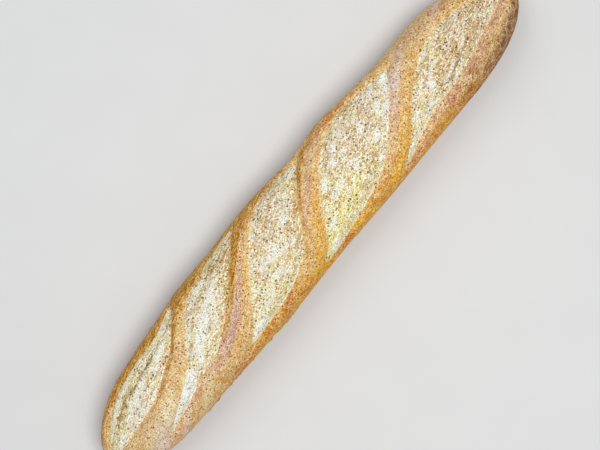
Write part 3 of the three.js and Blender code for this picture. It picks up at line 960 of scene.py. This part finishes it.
# %% Thickness of the browned layer
THINNEST_CRUST = 0.6
crust_swing = bread.swing((fine, 3.6), (mottle, 1.6), (blotch, 1.6), (streak, 1.2))
crust_swing = bread.plus(crust_swing, bread.times(bread.swing((streak, 2.2)), bread.attribute("gold")))
crust_swing = bread.times(crust_swing, bread.number(bread.attribute("side"), 1.0, 0.6))
crust = bread.power(crust, bread.sum("MAXIMUM", bread.plus(crust_swing, 1.0), THINNEST_CRUST))
crust = bread.dim(crust, bread.minus(1.0, bread.swing((fine, 1.4), (mottle, 0.3), (blotch, 0.25))))
print("nodes so far:", len(bread.tree.nodes))

# %% [markdown]
# Then the crumb that the cuts laid bare. It is cream, with orange-tan patches where it browned a little,
# yellow ones where it is thin, and flour on the places that stood highest. The dough tore along the loaf,
# so its strands are drawn out that way: pale ones on top, and browner gaps between them. Its colour is
# raised to a power too, like the crust's, but less so under flour, which hides what lies below.

# %% Crumb colours
CREAM = screen_colour(237, 227, 180)
BROWNED = screen_colour(225, 196, 145)
PINKISH = screen_colour(227, 207, 184)
FLOUR = screen_colour(246, 249, 238)
YELLOW = screen_colour(246, 236, 158)
TOAST_AND_SHADE = screen_colour(214, 184, 126)
STRAND_GAP = screen_colour(182, 130, 70)
FLECK = screen_colour(252, 249, 228)
FOLD_PAINTED_SHADE = screen_colour(152, 128, 78)
STRAND_SLANT = 15
THINNEST_CRUMB = 0.3

strand_place = bread.stretched(bread.place, 2.2, STRAND_SLANT)
strands = bread.noise(1.8, place=strand_place)
fleck = bread.noise(0.95, place=bread.stretched(bread.place, 1.5, STRAND_SLANT))
clump = bread.noise(3.6, place=strand_place)
patch = bread.noise(5.5, place=strand_place)
flush = bread.noise(7, place=bread_grain)
crumb = bread.mix(bread.step(patch, 0.5, 0.64), CREAM, BROWNED)
crumb = bread.mix(bread.times(bread.step(flush, 0.52, 0.66), 0.7), crumb, PINKISH)
# The toast layer also carries painted shade along the lower edges of the cuts.
for name, strength, colour in [("yellow", 0.8, YELLOW), ("toast_and_shade", 0.85, TOAST_AND_SHADE), ("rosy", 0.7, PINKISH)]:
    crumb = bread.mix(bread.times(bread.attribute(name), strength, clamp=True), crumb, colour)
floury = bread.plus(bread.attribute("flour"), bread.swing((clump, 1.6), (strands, 2.4), (fleck, 2.2)))
flour_mask = bread.times(bread.step(floury, 0.35, 1.0), 0.88)
crumb = bread.mix(flour_mask, crumb, FLOUR)
# The grooves of the folds are darkened with painted shade.
crumb = bread.mix(bread.times(bread.attribute("fold"), 0.75), crumb, FOLD_PAINTED_SHADE)

fibres = bread.noise(1.5, rough=0.55, place=bread.stretched(bread_grain, 7))
fibre_swing = bread.times(bread.swing((fibres, 5.0)), bread.attribute("fibre"))
crumb_swing = bread.plus(bread.swing((fleck, 3.4), (strands, 3.0), (clump, 2.2), (fine, 2.4)), fibre_swing)
quiet = bread.number(flour_mask, 1.0, 0.45)
thickness = bread.plus(bread.times(crumb_swing, quiet), 1.0)
crumb = bread.power(crumb, bread.sum("MAXIMUM", thickness, THINNEST_CRUMB))
crumb = bread.dim(crumb, bread.minus(1.0, bread.swing((fine, 1.3), (fleck, 1.4))))
gaps = bread.times(bread.step(strands, 0.54, 0.66), quiet)
crumb = bread.mix(bread.times(gaps, 0.6), crumb, STRAND_GAP)
crumb = bread.mix(bread.times(bread.step(fleck, 0.44, 0.28), 0.35), crumb, FLECK)
print("nodes so far:", len(bread.tree.nodes))

# %% [markdown]
# The border between crust and crumb is ragged. A little noise is added to the distance before it is turned
# into a mask, which frays the edge. Small dark dots of bran lie in both, from cells whose middles the
# surface cuts. Larger and smaller cells give two sizes of dots, and flour hides some of them.

# %% Crust meets crumb
BRAN_DOT = screen_colour(104, 60, 30)
# Each kind of dot: size of its cells in mm, where its edge starts and ends, and its strength
DOT_KINDS = [(3.0, 0.27, 0.16, 0.9), (1.9, 0.28, 0.14, 0.55)]
ragged = bread.plus(bread.attribute("cut_depth"), bread.swing((blotch, 3.0), (mottle, 4.5), (fine, 2.0)))
in_crumb = bread.step(ragged, -0.4, 0.5)
dot_place = bread.shaken(bread.place, 0.9, 1.1)
dot_size = bread.swing((mottle, 0.5), (blotch, 0.4))
dots = 0.0
for cell_size, edge_start, edge_end, strength in DOT_KINDS:
    dot = bread.step(bread.plus(bread.cells(cell_size, dot_place), dot_size), edge_start, edge_end)
    dots = bread.sum("MAXIMUM", bread.times(dot, strength), dots)
dots = bread.times(dots, bread.number(bread.times(flour_mask, in_crumb), 1.0, 0.5))
dots = bread.times(dots, bread.number(in_crumb, 0.9, 1.0))
pores = bread.bump(fine, 0.6, 0.7)
pebbles = bread.bump(mottle, 1.2, 0.6, normal=pores)
torn = bread.bump(strands, 1.4, 0.6, normal=pebbles)
bread.finish(
    Base_Color=bread.mix(dots, bread.mix(in_crumb, crust, crumb), BRAN_DOT),
    Roughness=bread.number(in_crumb, 0.6, 0.9),
    Specular_IOR_Level=0.18,
    Normal=torn,
)
skin_mesh.materials.append(bread.material)
print("nodes in the bread's material:", len(bread.tree.nodes))

# %% [markdown]
# Brown flour is full of bran. Most of it is in the material, but the larger flakes stand a little proud of
# the surface, so they are real geometry: one small flat cone of five sides, set down thousands of times
# with a seeded draw. Joining copies as arrays is fast, and unlike particles it leaves plain mesh.

# %% Bran flakes
BRAN_SEED = 7
BRAN_COUNT = 4300
BRAN_SIZE = (0.35, 0.75)
FLAKE_FORM = [(0.8, 1.5), (0.5, 0.9), (0.25, 0.45)]
FLAKE_SINK = 0.05
ON_CRUMB = 1.25
ON_CRUST = 0.55
ON_LOW_SIDE = 0.12
LOW_SIDE_ANGLE = 1.9
LOWEST_FLAKE = 3


def flake_shape():
    """One flake, two units across and half a unit thick, as points and triangles."""
    shape = bmesh.new()
    bmesh.ops.create_cone(shape, cap_ends=True, segments=5, radius1=1.0, radius2=0.55, depth=0.5)
    bmesh.ops.triangulate(shape, faces=shape.faces)
    points = np.array([v.co for v in shape.verts])
    faces = np.array([[v.index for v in f.verts] for f in shape.faces])
    shape.free()
    return points, faces


def scatter(rng, count):
    """Picks of vertices, fewer on the crust than on the crumb, and hardly any low down on the sides."""
    rings = ring_place(np.linspace(0, 1, ALONG + 1))
    share = np.interp(x_place, rings, np.gradient(rings)) * fullness(x_place)
    share = share * (1 - TOP_CROWDING * np.cos(angle))
    share = share * np.where(np.abs(angle) < LOW_SIDE_ANGLE, 1.0, ON_LOW_SIDE)
    share = share * np.where(cut_depth > 0, ON_CRUMB, ON_CRUST) * (plain[:, 2] > LOWEST_FLAKE)
    return rng.choice(len(plain), size=count, replace=False, p=share / share.sum())


def make_flakes(name, count, seed):
    rng = np.random.default_rng(seed)
    chosen = scatter(rng, count)
    normals = normals_of(skin_mesh)[chosen]
    centres = ((shaped + shift) * MM)[chosen]
    turns = rng.uniform(0, 2 * np.pi, count)
    sizes = rng.uniform(*BRAN_SIZE, count)[:, None]
    sizes = sizes * np.stack([rng.uniform(*limits, count) for limits in FLAKE_FORM], axis=1)
    points, faces = flake_shape()
    side = np.cross(normals, [0.0, 0.0, 1.0]) + [1e-6, 0, 0]
    side /= np.linalg.norm(side, axis=1, keepdims=True)
    other = np.cross(normals, side)
    first = side * np.cos(turns)[:, None] + other * np.sin(turns)[:, None]
    second = np.cross(normals, first)
    local = points[None, :, :] * sizes[:, None, :] * MM
    placed = centres[:, None, :] - normals[:, None, :] * FLAKE_SINK * MM
    for i, direction in enumerate([first, second, normals]):
        placed = placed + local[:, :, i : i + 1] * direction[:, None]
    all_faces = (faces[None] + len(points) * np.arange(count)[:, None, None]).reshape(-1, 3)
    mesh = bpy.data.meshes.new(name)
    mesh.from_pydata(placed.reshape(-1, 3).tolist(), [], all_faces.tolist())
    mesh.shade_smooth()
    flakes = bpy.data.objects.new(name, mesh)
    bpy.context.scene.collection.objects.link(flakes)
    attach(flakes, "root")
    print(name, "triangles:", len(all_faces))
    return flakes


bran = make_flakes("bran_flakes", BRAN_COUNT, BRAN_SEED)

# %% [markdown]
# Bran is a thin brown husk. Its flakes differ from golden to dark brown, so the colour follows a slow
# noise, and the surface is a little shinier than the crumb.

# %% Bran finish
HUSK_DARK = screen_colour(110, 56, 20)
HUSK_GOLDEN = screen_colour(168, 106, 44)
husk = Recipe("bran_husk")
husk_tone = husk.step(husk.noise(1.6, detail=1, rough=0.5), 0.35, 0.65)
husk.finish(
    Base_Color=husk.mix(husk_tone, HUSK_DARK, HUSK_GOLDEN),
    Roughness=husk.number(husk_tone, 0.55, 0.75),
    Specular_IOR_Level=0.15,
    Normal=husk.bump(husk.noise(0.5, detail=2, rough=0.5), 0.1, 0.3),
)
bran.data.materials.append(husk.material)
print("nodes in the bran's material:", len(husk.tree.nodes))

# %% [markdown]
# A plain pale floor takes the loaf's soft shadow. It is one wide square, left off the loaf's body, so it
# isn't part of the object.

# %% The floor
FLOOR_HALF = 2.0
FLOOR_TONES = [(0.72, 0.72, 0.71, 1), (0.76, 0.76, 0.75, 1)]
floor_shape = bmesh.new()
bmesh.ops.create_grid(floor_shape, x_segments=1, y_segments=1, size=FLOOR_HALF)
floor_mesh = bpy.data.meshes.new("floor")
floor_shape.to_mesh(floor_mesh)
floor_shape.free()
floor = bpy.data.objects.new("floor", floor_mesh)
bpy.context.scene.collection.objects.link(floor)
floor_finish = Recipe("pale_floor")
floor_swing = floor_finish.noise(60, detail=2, rough=0.5)
floor_finish.finish(Base_Color=floor_finish.mix(floor_swing, *FLOOR_TONES), Roughness=0.8)
floor_mesh.materials.append(floor_finish.material)
print("floor, m across:", 2 * FLOOR_HALF)

# %% [markdown]
# The light is soft and comes from overhead, with a little more from the front side of the loaf, as in the
# photo. One wide area lamp is the main light, a second one fills, and a pale world lifts the shadows.

# %% The lights
def soft_lamp(name, place, size, power, colour):
    """A round area lamp that shines on the middle of the loaf."""
    data = bpy.data.lights.new(name, "AREA")
    data.shape = "DISK"
    data.size = size
    data.energy = power
    data.color = colour
    lamp = bpy.data.objects.new(name, data)
    lamp.location = place
    lamp.rotation_euler = (-Vector(place)).to_track_quat("-Z", "Y").to_euler()
    bpy.context.scene.collection.objects.link(lamp)
    print(name, "watts:", power)


soft_lamp("main_light", (0.1, -0.34, 1.35), 0.8, 10.4, (1.0, 0.99, 0.975))
soft_lamp("fill_light", (-0.1, 0.75, 1.2), 1.0, 4.6, (0.98, 0.99, 1.0))
world = bpy.data.worlds.new("soft_room")
world.use_nodes = True
room = world.node_tree.nodes["Background"]
room.inputs["Color"].default_value = (0.93, 0.95, 1.0, 1)
room.inputs["Strength"].default_value = 0.38
bpy.context.scene.world = world
bpy.context.scene.view_settings.view_transform = "Standard"

# %% [markdown]
# The camera looks straight down, turned so that the loaf runs from lower left to upper right, and close
# enough that both tips run out of the picture. Its distance and lens follow from the width of floor that
# the picture shows.

# %% The camera
VIEW_WIDTH = 478.5
AXIS_SLANT = np.radians(49.63)
SENSOR_WIDTH = 36
camera_data = bpy.data.cameras.new("camera")
camera_data.sensor_width = SENSOR_WIDTH
camera_data.lens = SENSOR_WIDTH * VIEW_DISTANCE / VIEW_WIDTH
camera = bpy.data.objects.new("camera", camera_data)
right = Vector((np.cos(AXIS_SLANT), -np.sin(AXIS_SLANT), 0))
up = Vector((np.sin(AXIS_SLANT), np.cos(AXIS_SLANT), 0))
turned = Matrix((right, up, right.cross(up))).transposed()
camera.rotation_mode = "QUATERNION"
camera.rotation_quaternion = turned.to_quaternion()
camera.location = Vector((*(VIEW_CENTRE + shift[:2]), VIEW_PLANE + VIEW_DISTANCE)) * MM
bpy.context.scene.collection.objects.link(camera)
bpy.context.scene.camera = camera
print("lens, mm:", round(camera_data.lens, 1))
